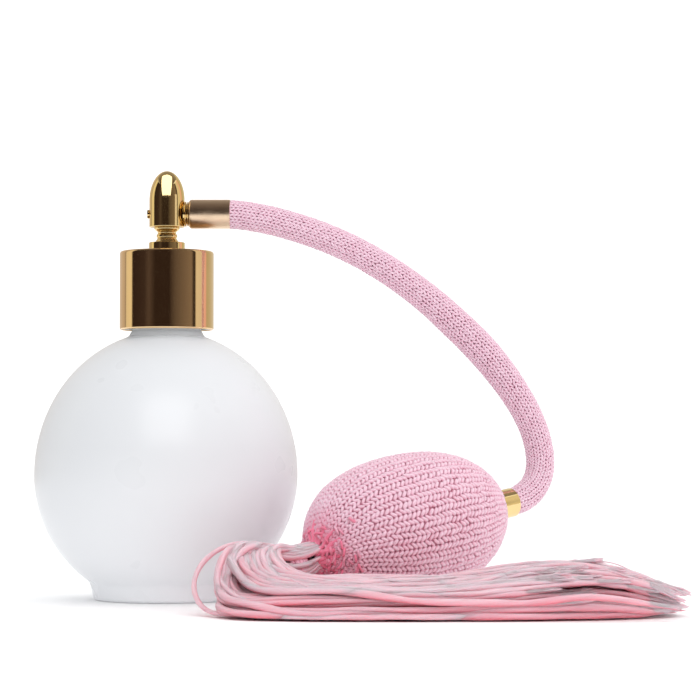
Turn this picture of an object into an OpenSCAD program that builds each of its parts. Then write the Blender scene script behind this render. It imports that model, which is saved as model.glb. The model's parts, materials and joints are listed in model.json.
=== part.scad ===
// Round atomizer bottle with a screw-on sprayer, a knitted hose, a squeeze bulb and a tassel.
// Millimetres, +Z up. The origin is the centre of the bottle's base, and the hose leaves towards +X.

/* [Bottle] */
// Largest radius of the ball-shaped body
ball_r = 39.3; // [32:0.1:48]
// How far the flat base cuts into the lower half ball
base_cut = 2.1; // [1:0.1:5]
// How much taller than a half ball the shoulder is
shoulder_rise = 3.7; // [0:0.1:8]
// Radius of the foot where it meets the ball
foot_r = 22.8; // [18:0.1:27]
// Inward taper of the foot towards the base
foot_taper = 1; // [0:0.1:3]
// Rounding of the foot's bottom edge
foot_corner = 1.2; // [0.5:0.1:1.6]
// Thickness of the glass wall
glass_wall = 2.4; // [1.8:0.1:4]
// Thickness of the glass base
glass_floor = 5.5; // [4:0.1:9]
// Radius of the bead under the collar
bead_r = 11; // [10.6:0.1:11.2]
// Height of the bead
bead_h = 1.7; // [1:0.1:3]
// Outside radius of the neck
neck_r = 10.2; // [9.5:0.1:10.5]
// Radius of the bore through the neck
neck_bore_r = 7; // [5.5:0.1:7.5]
// Height of the neck above the bead
neck_h = 17.3; // [15:0.1:24]

/* [Thread] */
// Height that one turn of the thread climbs
thread_pitch = 3; // [2:0.1:4]
// Number of turns
thread_turns = 1.5; // [1:0.25:2]
// How far the ridge stands out from the neck
thread_depth = 1; // [0.6:0.1:1.2]
// Radial gap between the two threads' crests
crest_gap = 0.05; // [0.04:0.01:0.2]

/* [Collar] */
// Outside radius of the metal collar
collar_r = 14.1; // [13.5:0.1:17]
// Thickness of the collar's metal
shell_wall = 0.5; // [0.4:0.05:0.8]
// Rounding of the collar's top edge
collar_round = 0.9; // [0.5:0.1:1.5]
// Gap between the collar and the bead under it
collar_gap = 0.2; // [0.1:0.05:1]
// Radius of the bore of the plastic insert, at the bottom of its thread
insert_bore_r = 11.9; // [11.8:0.05:12.4]
// Thickness of the insert's top web
web_t = 2; // [1.5:0.1:3]
// Thickness of the gasket on the bottle's rim
gasket_t = 1; // [0.6:0.1:2]

/* [Sprayer] */
// Radius of the stem that carries the head
stem_r = 2.2; // [2.1:0.05:2.4]
// Radius of the liquid passage up the stem
stem_bore_r = 0.7; // [0.5:0.05:0.9]
// Thickness of the stem's flange on the gasket
flange_t = 2.9; // [2:0.1:4]
// Radius of the flange
flange_r = 9.5; // [8.5:0.1:9.8]
// Outside radius of the dip tube
dip_r = 1.5; // [1.2:0.05:1.8]
// Wall of the dip tube
dip_wall = 0.6; // [0.4:0.05:0.7]
// Gap between the dip tube and the bottle's floor
dip_gap = 2; // [1:0.5:10]
// Radius of the disc on top of the collar
disc_r = 5.4; // [5:0.1:8]
// Thickness of the disc
disc_t = 2.8; // [1.5:0.1:4]
// Height of the spool-shaped neck under the head
spool_h = 4.2; // [3:0.1:6]
// Radius of the spool at its waist
waist_r = 3.1; // [2.9:0.1:3.3]
// Radius of the head
head_r = 5.3; // [5:0.1:7]
// Height of the head
head_h = 17; // [15:0.1:22]
// Height of the head's straight side, below its rounded top
head_side_h = 8.2; // [7:0.1:10]
// Height of the side arm's axis above the head's bottom
arm_h = 4; // [3.5:0.1:5]

/* [Hose] */
// Outside diameter of the knitted hose cover
hose_d = 8.4; // [7.5:0.1:8.6]
// Outside diameter of the rubber tube in the cover
tube_d = 6; // [5.4:0.1:6]
// Bore of the rubber tube
tube_bore_d = 3.8; // [3.4:0.1:4]
// Length of the ferrule at the head
ferrule_l = 12.4; // [9:0.1:16]
// Wall of the ferrules
ferrule_wall = 0.35; // [0.2:0.05:0.5]

/* [Bulb] */
// Largest radius of the bulb over its net
bulb_r = 21.1; // [17:0.1:21.2]
// Half of the bulb's length
bulb_a = 34.5; // [32:0.5:36]
// Thickness of the knitted net
net_t = 1.3; // [0.8:0.1:2]
// Wall of the rubber bulb
rubber_wall = 1.8; // [1.2:0.1:2.5]
// Turn of the bulb's axis away from +X, seen from above
bulb_yaw = 38; // [30:1:45]
// Rise of the bulb's axis towards the hose
bulb_tilt = 9; // [5:1:15]
// Diameter of the valve balls
valve_ball_d = 3; // [2.4:0.1:3]
// Travel of the valve balls
valve_travel = 1; // [0.5:0.1:1.5]

/* [Tassel] */
// Radius of the knot where the strands are tied to the net
knot_r = 5; // [4:0.1:6]
// Share of the pile's drawn height
pile_rise = 1; // [0.8:0.05:1.2]

/* [Hidden] */
$fn = 96;

gold = [0.83, 0.64, 0.33];
pink = [0.93, 0.64, 0.74];
fit = 0.05;      // radial clearance of a piece that turns or slides in another
seat_gap = 0.02; // clearance of a valve ball from its seat, and of a washer in its groove
over = 1;        // how far a cut runs past the face that it opens

// Heights, from the base up
belly_z = ball_r - base_cut;
shoulder_h = ball_r + shoulder_rise;
bead_z = belly_z + shoulder_h * sqrt(1 - pow(bead_r / ball_r, 2));
bead_top = bead_z + bead_h;
rim_z = bead_top + neck_h;
flange_z = rim_z + gasket_t;
flange_top = flange_z + flange_t;
web_z = flange_top + 0.1;
web_top = web_z + web_t;
shell_z = bead_top + collar_gap;
shell_top = web_top + fit + shell_wall;
disc_z = shell_top + 0.2;
spool_z = disc_z + disc_t;
head_z = spool_z + spool_h;
arm_z = head_z + arm_h;

// Radii of the collar's two pieces
shell_bore_r = collar_r - shell_wall;
insert_r = shell_bore_r - fit;
crest_r = neck_r + thread_depth;
web_hole_r = stem_r + 1.5;

// Where the neck's thread starts, and how far a ridge's root is sunk into its wall
thread_z = rim_z - 9.5;
thread_sink = 0.3;

// The stem's socket for the dip tube, and its top inside the head
socket_l = 6;
socket_r = dip_r + 1;
stem_top = arm_z - 1.7;
groove_z = head_z + 0.5;
groove_h = 0.8;
ring_wire_r = 0.33;
ring_r = stem_r + fit - ring_wire_r - seat_gap;

// The jet tube through the head, and the tip that closes its outer end
jet_r = 1.1;
jet_bore_r = 0.4;
tip_out = 0.4;
tip_in = 1.6;
tip_flange_r = 1.25;
spray_hole_r = 0.2;

// The hose's solids have this many flat sides, so its bore is narrower across the flats
hose_sides = 10;

// Side arm: a spigot in the head, a beaded neck outside it, and a barb in the hose
arm_bore_r = 1.6;
spigot_x = 1;
nipple_x = head_r - 0.1;
ferrule_x = head_r + 1.3;
ferrule_r = hose_d / 2 + ferrule_wall - 0.15;
hose_inset = 2;
barb_r = tube_bore_d / 2 * cos(180 / hose_sides) - fit;
barb_l = ferrule_l - 1.5;
air_bore_r = 0.9;

// The hose inside a ferrule is pressed down to this radius by the crimp
crimp_r = ferrule_r - ferrule_wall - fit;

// Valves and connector on the bulb's axis. Distances run along it from the bulb's centre.
bulb_pos = [71.2, -18, 22];
net_end = bulb_a;
bulb_ferrule_s = net_end + 0.3;
bulb_ferrule_l = 7;
hose_end_s = bulb_ferrule_s + 0.6;
connector_s = net_end - 12;
connector_r = 3.2;
connector_l = 9;
valve_bore_r = valve_ball_d / 2 + 0.2;
seat_r = valve_ball_d / 3;
seat_t = 1.5;
ball_rest = sqrt(pow(valve_ball_d / 2, 2) - pow(seat_r, 2)) + seat_gap;
stop_t = 1.4;
stop_s = ball_rest + valve_travel + valve_ball_d / 2 + 0.15;
inlet_s = -net_end + 1;
inlet_l = 9;
neck_wall = 1;
tail_l = 3;
tail_r = 5;

// Knot behind the bulb's tail, hanging a little below the axis
knot_s = net_end + tail_l + knot_r * 0.75 + 0.4;
knot_drop = 3.5;

// Route of the hose's centre line, from inside the head's ferrule to inside the bulb's. It is laid for a
// side arm at route_z, and rises with the arm: wholly at the arm, and not at all at the bulb.
route_z = 115.23;
route_low_z = 30.3;
hose_start = [ferrule_x + hose_inset, 0, arm_z];
hose_mouth = [ferrule_x + ferrule_l + 0.8, 0, arm_z];
hose_route = [
    [25.5, 0, 114.5], [32.5, 0.5, 113.1], [40, 1, 111], [48, 2, 108.2],
    [56, 3, 104.7], [64, 4.5, 100.3], [72, 6, 95.1], [79.5, 7.5, 89.4], [86.5, 9.5, 83.2],
    [93.3, 11.5, 76.8], [99.4, 13.5, 70], [104.7, 15.2, 63], [109, 16.6, 56],
    [112, 17.5, 49], [113.3, 17.7, 43.2], [113.2, 16.6, 37.6], [111.2, 14.2, 33], [108.2, 11.2, 30.3]];

// Stations of the tassel's pile: x, middle y, half width, height
pile_stations = [
    [17, -62, 7, 5], [19.5, -62, 15, 12], [23, -61, 20, 17], [27, -60.5, 21.5, 19.5], [32, -61, 20.5, 18.5],
    [37, -67, 18.5, 12.5], [44, -70, 21.5, 9.5], [60, -71, 24.5, 9], [78, -71, 26, 9.5], [96, -69, 26, 11.5],
    [112, -66, 24, 12.5], [124, -64, 21, 12.5], [133, -62, 16, 8.5], [143, -61, 11, 5], [152, -60, 6, 3]];
// Outline of one station: across as a share of the half width, up as a share of the height
pile_outline = [[-1, 0], [-0.95, 0.3], [-0.72, 0.72], [-0.35, 0.95], [0, 1], [0.35, 0.95],
                [0.72, 0.72], [0.95, 0.3], [1, 0]];
// The strands between the knot and the pile: where they end, and their bundle's two radii
throw_end = [27, -53, 12];
throw_r = [4, 5.5];

// ---------------------------------------------------------------- helpers

// Points on an ellipse's arc about [cx, cz]
function arc(cx, cz, rx, rz, from, to, n) =
    [for (i = [0:n]) let (t = from + (to - from) * i / n) [cx + rx * cos(t), cz + rz * sin(t)]];

function unit(v) = v / norm(v);

// A point of the hose's route, raised with the side arm
function with_arm(p) = [p[0], p[1], p[2] + (arm_z - route_z) * (p[2] - route_low_z) / (route_z - route_low_z)];

// Direction of the route at point i
function route_dir(p, i) =
    unit(p[min(i + 1, len(p) - 1)] - p[max(i - 1, 0)]);

// A frame carried along the route without twist: [first side vector at each point]
function carry(p, i, side, acc) =
    i >= len(p) ? acc :
    let (d = route_dir(p, i), s = unit(side - d * (side * d)))
    carry(p, i + 1, s, concat(acc, [s]));

// Points of the rings of radius r along a route
function rings(p, r, n) =
    let (sides = carry(p, 0, [0, 1, 0], []))
    [for (i = [0:len(p) - 1])
        let (d = route_dir(p, i), a = sides[i], b = cross(d, a))
        for (k = [0:n - 1]) p[i] + r * (cos(360 * k / n) * a + sin(360 * k / n) * b)];

// A tube with an open bore, swept along a route
module swept_tube(p, r_out, r_in, n) {
    m = len(p);
    shift = m * n;
    inner_outer = concat(rings(p, r_out, n), rings(p, r_in, n));
    walls = [for (i = [0:m - 2]) for (k = [0:n - 1])
        let (a = i * n + k, b = i * n + (k + 1) % n)
        [[a, b, b + n, a + n], [shift + a, shift + a + n, shift + b + n, shift + b]]];
    ends = [for (k = [0:n - 1])
        let (k2 = (k + 1) % n, top = (m - 1) * n)
        [[k, shift + k, shift + k2, k2],
         [top + k, top + k2, shift + top + k2, shift + top + k]]];
    polyhedron(points = inner_outer,
               faces = concat([for (w = walls) for (f = w) f], [for (e = ends) for (f = e) f]),
               convexity = 8);
}

// A ring of rectangular section
module washer(r_out, r_in, h) {
    difference() {
        cylinder(r = r_out, h = h);
        translate([0, 0, -over]) cylinder(r = r_in, h = h + 2 * over);
    }
}

// A helical ridge: its root lies at r_root and its crest at r_crest
module thread_ridge(r_root, r_crest, turns) {
    steps = 32;
    last = round(turns * steps);
    foot = thread_pitch * 0.28;
    tip = thread_pitch * 0.12;
    section = [[r_root, -foot], [r_crest, -tip], [r_crest, tip], [r_root, foot]];
    // the ridge rises from the root over the first and last eighth of a turn
    pts = [for (i = [0:last])
        let (t = 360 * i / steps, grow = min(1, i / 4, (last - i) / 4), z = thread_pitch * i / steps)
        for (q = section)
        let (r = r_root + (q[0] - r_root) * max(grow, 0.05))
        [r * cos(t), r * sin(t), z + q[1]]];
    inward = r_crest < r_root;
    quads = [for (i = [0:last - 1]) for (k = [0:3])
        let (a = i * 4 + k, b = i * 4 + (k + 1) % 4)
        inward ? [a, a + 4, b + 4, b] : [a, b, b + 4, a + 4]];
    first_cap = inward ? [0, 1, 2, 3] : [3, 2, 1, 0];
    last_cap = inward ? [last * 4 + 3, last * 4 + 2, last * 4 + 1, last * 4]
                      : [last * 4, last * 4 + 1, last * 4 + 2, last * 4 + 3];
    polyhedron(points = pts, faces = concat(quads, [first_cap, last_cap]), convexity = 6);
}

// Turns a solid drawn about +Z so that it lies along +X
module along_x() { rotate([0, 90, 0]) children(); }

// Puts a solid drawn about +Z on the bulb's axis, at the distance s from its centre
module on_bulb(s) {
    translate(bulb_pos) rotate([0, -bulb_tilt, bulb_yaw]) translate([s, 0, 0]) along_x() children();
}

// The bulb's own direction and a point on its axis
bulb_dir = [cos(bulb_tilt) * cos(bulb_yaw), cos(bulb_tilt) * sin(bulb_yaw), sin(bulb_tilt)];
function on_axis(s) = bulb_pos + s * bulb_dir;

// The bulb's radius at s for a half length a and largest radius r: a blunt egg
function egg(s, a, r) = r * sqrt(1 - pow(abs(s) / a, 2.3));
function egg_outline(a, r, r_end, n) =
    let (end = a * pow(1 - pow(r_end / r, 2), 1 / 2.3))
    [for (i = [0:n]) let (s = -end * cos(180 * i / n)) [egg(s, a, r), s]];

// ---------------------------------------------------------------- bottle

// The body and the neck are one piece of glass, drawn as two solids that meet at the bead's foot
module bottle_body() color("white") {
    base_r = foot_r - foot_taper;
    in_r = ball_r - glass_wall;
    in_h = shoulder_h - glass_wall;
    rotate_extrude() polygon(concat(
        [[0, 0]],
        arc(base_r - foot_corner, foot_corner, foot_corner, foot_corner, -90, 0, 5),
        arc(0, belly_z, ball_r, ball_r, -acos(foot_r / ball_r), 0, 14),
        arc(0, belly_z, ball_r, shoulder_h, 4, acos(bead_r / ball_r), 18),
        [[neck_bore_r, bead_z]],
        arc(0, belly_z, in_r, in_h, acos(neck_bore_r / in_r), 4, 18),
        arc(0, belly_z, in_r, in_r, 0, -asin((belly_z - glass_floor) / in_r), 14),
        [[0, glass_floor]]));
}

module bottle_neck() color("white") {
    lip = 0.5;
    rotate_extrude() polygon([
        [neck_bore_r, bead_z], [bead_r, bead_z], [bead_r, bead_top - lip], [bead_r - lip, bead_top],
        [neck_r, bead_top], [neck_r, rim_z - lip], [neck_r - lip, rim_z], [neck_bore_r, rim_z]]);
    translate([0, 0, thread_z]) thread_ridge(neck_r - thread_sink, crest_r, thread_turns);
}

module neck_gasket() color("gainsboro")
    translate([0, 0, rim_z]) washer(neck_r - 0.1, neck_bore_r + 0.2, gasket_t);

// ---------------------------------------------------------------- collar

module collar_shell() color(gold)
    rotate_extrude() polygon(concat(
        [[shell_bore_r, shell_z], [collar_r, shell_z]],
        arc(collar_r - collar_round, shell_top - collar_round, collar_round, collar_round, 0, 90, 6),
        [[web_hole_r, shell_top], [web_hole_r, shell_top - shell_wall],
         [shell_bore_r, shell_top - shell_wall]]));

module collar_insert() color("whitesmoke") {
    corner = max(collar_round - shell_wall, 0.2) + 0.2;
    skirt_z = shell_z + 0.3;
    rotate_extrude() polygon([
        [insert_bore_r, skirt_z], [insert_r, skirt_z], [insert_r, web_top - corner],
        [insert_r - corner, web_top], [web_hole_r, web_top], [web_hole_r, web_z],
        [insert_bore_r, web_z]]);
    translate([0, 0, thread_z - thread_pitch / 2])
        thread_ridge(insert_bore_r + thread_sink, crest_r + crest_gap, thread_turns);
}

// ---------------------------------------------------------------- sprayer

module stem() color("whitesmoke") difference() {
    union() {
        translate([0, 0, flange_z - socket_l]) cylinder(r = socket_r, h = socket_l);
        translate([0, 0, flange_z]) cylinder(r = flange_r, h = flange_t);
        translate([0, 0, flange_z]) cylinder(r = stem_r, h = stem_top - flange_z);
    }
    translate([0, 0, flange_z - socket_l - over]) cylinder(r = stem_bore_r, h = stem_top);
    translate([0, 0, flange_z - socket_l - over]) cylinder(r = dip_r + seat_gap, h = socket_l + over);
    translate([0, 0, groove_z]) washer(stem_r + over, ring_r - ring_wire_r - seat_gap, groove_h);
}

module seat_disc() color(gold) {
    lobe = 0.35;
    rotate_extrude() polygon(concat(
        [[stem_r + fit, disc_z]],
        arc(disc_r - lobe, disc_z + lobe, lobe, lobe, -90, 0, 3),
        arc(disc_r - lobe, spool_z - lobe, lobe, lobe, 0, 90, 3),
        // lower bell of the spool
        arc(waist_r + 1.1, spool_z + spool_h * 0.34, 1.1, spool_h * 0.34, 270, 180, 5),
        // bead above the waist
        arc(waist_r, spool_z + spool_h * 0.6, 0.55, spool_h * 0.12, -90, 90, 6),
        // flare under the head
        arc(waist_r + 0.9, spool_z + spool_h * 0.72, 0.9, spool_h * 0.2, 180, 90, 4),
        [[waist_r + 0.9, head_z - seat_gap], [stem_r + fit, head_z - seat_gap]]));
}

module dip_tube() color("white")
    translate([0, 0, glass_floor + dip_gap])
        washer(dip_r, dip_r - dip_wall, flange_z - glass_floor - dip_gap - 0.1);

module head_o_ring() color("dimgray")
    translate([0, 0, groove_z + groove_h / 2])
        rotate_extrude() translate([ring_r, 0]) circle(r = ring_wire_r, $fn = 24);

module spray_head() color(gold) difference() {
    dome_h = head_h - head_side_h;
    translate([0, 0, head_z]) rotate_extrude() polygon(concat(
        [[0, 0], [head_r - 0.25, 0], [head_r, 0.25]],
        [for (i = [0:12]) let (t = i / 12)
            [head_r * pow(cos(90 * t), 0.82), head_side_h + dome_h * sin(90 * t)]]));
    translate([0, 0, head_z - over]) cylinder(r = stem_r + fit, h = stem_top - head_z + over + 0.2);
    translate([0, 0, head_z]) cylinder(r = stem_bore_r, h = arm_h);
    translate([spigot_x - 0.2, 0, arm_z]) along_x() cylinder(r = arm_bore_r, h = head_r + over);
    translate([-head_r - over, 0, arm_z]) along_x() cylinder(r = jet_r + seat_gap, h = head_r + 2 * over);
}

// It starts behind the tip and ends short of the head's axis
module jet_tube() color(gold)
    translate([tip_in - head_r, 0, arm_z]) along_x() washer(jet_r, jet_bore_r, head_r - tip_in - 0.2);

module nozzle_tip() color(gold) translate([-head_r - tip_out, 0, arm_z]) along_x() difference() {
    union() {
        cylinder(r = jet_r, h = tip_out + tip_in - 0.1);
        cylinder(r = tip_flange_r, h = tip_out - fit);
    }
    translate([0, 0, -over]) cylinder(r = spray_hole_r, h = head_r);
    translate([0, 0, tip_out + 0.2]) cylinder(r = jet_bore_r, h = head_r);
}

module side_nipple() color(gold) {
    neck_l = ferrule_x - nipple_x;
    translate([0, 0, arm_z]) along_x() rotate_extrude() polygon(concat(
        [[air_bore_r, spigot_x], [arm_bore_r - seat_gap, spigot_x], [arm_bore_r - seat_gap, head_r + 0.1]],
        // two beads between the head and the ferrule
        [[2.6, head_r + 0.1]],
        arc(2.9, nipple_x + 0.33 * neck_l, 0.8, neck_l * 0.2, -70, 70, 5),
        arc(2.9, nipple_x + 0.75 * neck_l, 0.9, neck_l * 0.19, -70, 60, 5),
        [[2.2, ferrule_x], [barb_r, ferrule_x + 0.6],
         [barb_r, ferrule_x + barb_l - 1.2], [barb_r - 0.35, ferrule_x + barb_l],
         [air_bore_r, ferrule_x + barb_l]]));
}

// ---------------------------------------------------------------- hose

module hose_ferrule() color(gold)
    translate([ferrule_x, 0, arm_z]) along_x() rotate_extrude() polygon(concat(
        [[ferrule_r - ferrule_wall, ferrule_l], [ferrule_r - ferrule_wall, 1.4], [2.3, 1.4], [2.3, 0.05]],
        arc(ferrule_r - 1.2, 1.25, 1.2, 1.2, -90, 0, 6),
        [[ferrule_r, ferrule_l]]));

// The hose's points from end to end, straight inside both ferrules
hose_path = concat([hose_start, hose_mouth], [for (p = hose_route) with_arm(p)],
                   [on_axis(bulb_ferrule_s + bulb_ferrule_l + 0.8), on_axis(hose_end_s)]);

module hose_tube() color("gray") swept_tube(hose_path, tube_d / 2, tube_bore_d / 2, hose_sides);

module hose_braid() color(pink)
    swept_tube(hose_path, crimp_r, tube_d / 2 + seat_gap, hose_sides);

module bulb_ferrule() color(gold)
    on_bulb(bulb_ferrule_s) washer(ferrule_r, ferrule_r - ferrule_wall, bulb_ferrule_l);

// ---------------------------------------------------------------- bulb and its valves

// A cage for a valve ball: a seat at its start, and room for the ball and its stop
module valve_bore(length) {
    translate([0, 0, -over]) cylinder(r = seat_r, h = seat_t + 2 * over);
    translate([0, 0, seat_t]) cylinder(r = valve_bore_r, h = length);
}

module valve_ball(s) color("silver") on_bulb(s + seat_t + ball_rest) sphere(d = valve_ball_d);

module valve_stop(s) color("whitesmoke")
    on_bulb(s + seat_t + stop_s) washer(valve_bore_r - seat_gap, air_bore_r, stop_t);

module bulb_connector() color("whitesmoke") {
    spigot_l = bulb_ferrule_s + bulb_ferrule_l - 1 - connector_s;
    on_bulb(connector_s) difference() {
        union() {
            cylinder(r = connector_r, h = connector_l);
            cylinder(r = barb_r, h = spigot_l);
        }
        valve_bore(stop_s + stop_t);
        translate([0, 0, connector_l - over]) cylinder(r = air_bore_r, h = spigot_l);
    }
}

module outlet_valve_ball() valve_ball(connector_s);
module outlet_valve_stop() valve_stop(connector_s);

module inlet_valve_body() color("silver")
    on_bulb(inlet_s) difference() {
        cylinder(r = connector_r, h = inlet_l);
        valve_bore(inlet_l);
    }

module inlet_valve_ball() valve_ball(inlet_s);
module inlet_valve_stop() valve_stop(inlet_s);

module rubber_bulb() color("darkgray") {
    r = bulb_r - net_t - 0.1;
    a = net_end - net_t - 0.3;
    hole_r = connector_r + fit;
    grip_r = hole_r + neck_wall;
    difference() {
        on_bulb(0) rotate_extrude() polygon(concat([[0, -a]], egg_outline(a, r, grip_r, 36), [[0, a]]));
        on_bulb(0) rotate_extrude() polygon(concat(
            [[0, -a + 9]], egg_outline(a - 3, r - rubber_wall, grip_r + 1, 30), [[0, a - 9]]));
        on_bulb(-net_end) cylinder(r = hole_r, h = 2 * net_end);
    }
}

module bulb_net() color(pink) {
    tail_bore_r = tail_r - 1.2;
    nose_r = connector_r + 0.4;
    difference() {
        union() {
            on_bulb(0) rotate_extrude() polygon(concat(
                [[0, -net_end]], egg_outline(net_end, bulb_r, tail_r, 40), [[0, net_end]]));
            on_bulb(-net_end - tail_l) cylinder(r = tail_r, h = tail_l + 3);
        }
        on_bulb(0) rotate_extrude() polygon(concat(
            [[0, -net_end + net_t]], egg_outline(net_end - net_t, bulb_r - net_t, tail_bore_r, 40),
            [[0, net_end - net_t]]));
        on_bulb(-net_end - tail_l - over) cylinder(r = tail_bore_r, h = tail_l + 6);
        on_bulb(net_end - 6) cylinder(r = nose_r, h = 10);
    }
}

// ---------------------------------------------------------------- tassel

module tassel_knot() color(pink)
    translate(on_axis(-knot_s) - [0, 0, knot_drop]) rotate([0, 0, bulb_yaw]) along_x()
        rotate_extrude() polygon(concat([[0, -knot_r * 0.75]],
            arc(0, 0, knot_r, knot_r * 0.75, -80, 80, 12), [[0, knot_r * 0.75]]));

module tassel() color(pink) {
    n = len(pile_outline);
    m = len(pile_stations);
    pts = [for (st = pile_stations) for (q = pile_outline)
        [st[0], st[1] + q[0] * st[2], q[1] * st[3] * pile_rise]];
    sides = [for (i = [0:m - 2]) for (k = [0:n - 1])
        let (a = i * n + k, b = i * n + (k + 1) % n) [a, b, b + n, a + n]];
    polyhedron(points = pts, faces = concat(sides,
        [[for (k = [n - 1:-1:0]) k], [for (k = [0:n - 1]) (m - 1) * n + k]]), convexity = 4);
    hull() {
        translate(on_axis(-knot_s - 0.75 * knot_r - throw_r[0] - fit) - [0, 0, knot_drop])
            sphere(r = throw_r[0], $fn = 24);
        translate(throw_end) sphere(r = throw_r[1], $fn = 24);
    }
}

bottle_body();
bottle_neck();
neck_gasket();
collar_shell();
collar_insert();
stem();
seat_disc();
dip_tube();
head_o_ring();
spray_head();
jet_tube();
nozzle_tip();
side_nipple();
hose_ferrule();
hose_tube();
hose_braid();
bulb_ferrule();
bulb_connector();
outlet_valve_ball();
outlet_valve_stop();
rubber_bulb();
bulb_net();
inlet_valve_body();
inlet_valve_ball();
inlet_valve_stop();
tassel_knot();
tassel();
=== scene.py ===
"""Looks of the round atomizer bottle: opal glass, polished metal, knitted hose and bulb, silky tassel."""
import json
import math

import bpy
import numpy as np
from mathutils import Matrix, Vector


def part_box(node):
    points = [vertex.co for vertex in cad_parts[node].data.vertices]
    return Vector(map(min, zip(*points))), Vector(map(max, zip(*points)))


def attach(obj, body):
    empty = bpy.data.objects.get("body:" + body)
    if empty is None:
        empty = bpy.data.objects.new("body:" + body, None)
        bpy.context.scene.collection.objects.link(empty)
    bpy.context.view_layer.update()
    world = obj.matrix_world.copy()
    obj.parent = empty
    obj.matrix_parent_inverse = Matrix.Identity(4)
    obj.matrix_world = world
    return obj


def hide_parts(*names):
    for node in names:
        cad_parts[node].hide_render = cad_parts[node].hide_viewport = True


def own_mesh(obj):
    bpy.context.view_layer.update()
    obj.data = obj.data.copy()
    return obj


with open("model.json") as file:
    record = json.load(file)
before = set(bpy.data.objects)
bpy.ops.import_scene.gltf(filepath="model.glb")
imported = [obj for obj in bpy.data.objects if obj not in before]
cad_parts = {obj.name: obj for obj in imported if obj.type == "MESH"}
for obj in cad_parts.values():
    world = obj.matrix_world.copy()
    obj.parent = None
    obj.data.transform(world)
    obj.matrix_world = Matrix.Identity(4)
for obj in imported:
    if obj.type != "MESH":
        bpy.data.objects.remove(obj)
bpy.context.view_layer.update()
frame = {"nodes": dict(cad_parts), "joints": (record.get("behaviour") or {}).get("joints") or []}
rng = np.random.default_rng(7)
MM = 0.001

# ------------------------------------------------------------ sizes, in millimetres


def node_box(node):
    """The lowest and highest corners of a CAD node, in millimetres."""
    low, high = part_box(node)
    return np.array(low) / MM, np.array(high) / MM


BALL_R = node_box("bottle_body")[1][0]
RIM_Z = node_box("bottle_neck")[1][2]
SHELL_Z, SHELL_TOP = node_box("collar_shell")[0][2], node_box("collar_shell")[1][2]
COLLAR_R = node_box("collar_shell")[1][0]
DISC_Z, HEAD_Z = node_box("seat_disc")[0][2], node_box("spray_head")[0][2]
DISC_R = node_box("seat_disc")[1][0]
HEAD_TOP, HEAD_R = node_box("spray_head")[1][2], node_box("spray_head")[1][0]
FERRULE_X, FERRULE_END = node_box("hose_ferrule")[0][0], node_box("hose_ferrule")[1][0]
FERRULE_R = node_box("hose_ferrule")[1][1]
ARM_Z = (node_box("hose_ferrule")[0][2] + node_box("hose_ferrule")[1][2]) / 2

BASE_CUT, SHOULDER_RISE = 2.1, 3.7
FOOT_R, FOOT_TAPER, FOOT_CORNER = 22.8, 1.0, 1.2
GLASS_WALL, GLASS_FLOOR = 2.4, 5.5
BEAD_R, BEAD_H, NECK_R, NECK_BORE_R = 11.0, 1.7, 10.2, 7.0
THREAD_PITCH, THREAD_TURNS = 3.0, 1.5
STEM_R = 2.2

HOSE_R = 4.2
HOSE_WALES = 14
BULB_CENTRE = np.array([71.2, -18.0, 22.0])
BULB_A, BULB_R = 34.5, 21.1
BULB_WALES = 36
squeeze = next(j for j in frame["joints"] if j["name"] == "bulb_squeeze")
BULB_AXIS = np.array(squeeze["axis"]) / np.linalg.norm(squeeze["axis"])
BULB_FERRULE_S, BULB_FERRULE_L = BULB_A + 0.3, 7.0
KNOT_S, KNOT_DROP = BULB_A + 7.15, 3.5


def on_axis(s):
    """The point at s along the bulb's axis from its centre; the hose is on the positive side."""
    return BULB_CENTRE + s * BULB_AXIS


# Route of the hose's centre line, as in the CAD source
HOSE_ROUTE = [
    (25.5, 0, 114.5), (32.5, 0.5, 113.1), (40, 1, 111), (48, 2, 108.2),
    (56, 3, 104.7), (64, 4.5, 100.3), (72, 6, 95.1), (79.5, 7.5, 89.4), (86.5, 9.5, 83.2),
    (93.3, 11.5, 76.8), (99.4, 13.5, 70), (104.7, 15.2, 63), (109, 16.6, 56),
    (112, 17.5, 49), (113.3, 17.7, 43.2), (113.2, 16.6, 37.6), (111.2, 14.2, 33), (108.2, 11.2, 30.3)]

# ------------------------------------------------------------ camera

VIEW_WIDTH = 210.0
VIEW_CENTRE = Vector((55.0, 0.0, 74.4)) * MM
CAMERA_AT = Vector((55.0, -760.0, 48.0)) * MM


def make_camera():
    data = bpy.data.cameras.new("camera")
    camera = bpy.data.objects.new("camera", data)
    bpy.context.scene.collection.objects.link(camera)
    camera.location = CAMERA_AT
    look = VIEW_CENTRE - CAMERA_AT
    camera.rotation_euler = look.to_track_quat("-Z", "Y").to_euler()
    data.sensor_width = 36.0
    data.lens = data.sensor_width * look.length / (VIEW_WIDTH * MM)
    data.clip_start, data.clip_end = 0.01, 20.0
    bpy.context.scene.camera = camera


make_camera()

# ------------------------------------------------------------ mesh helpers


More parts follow.
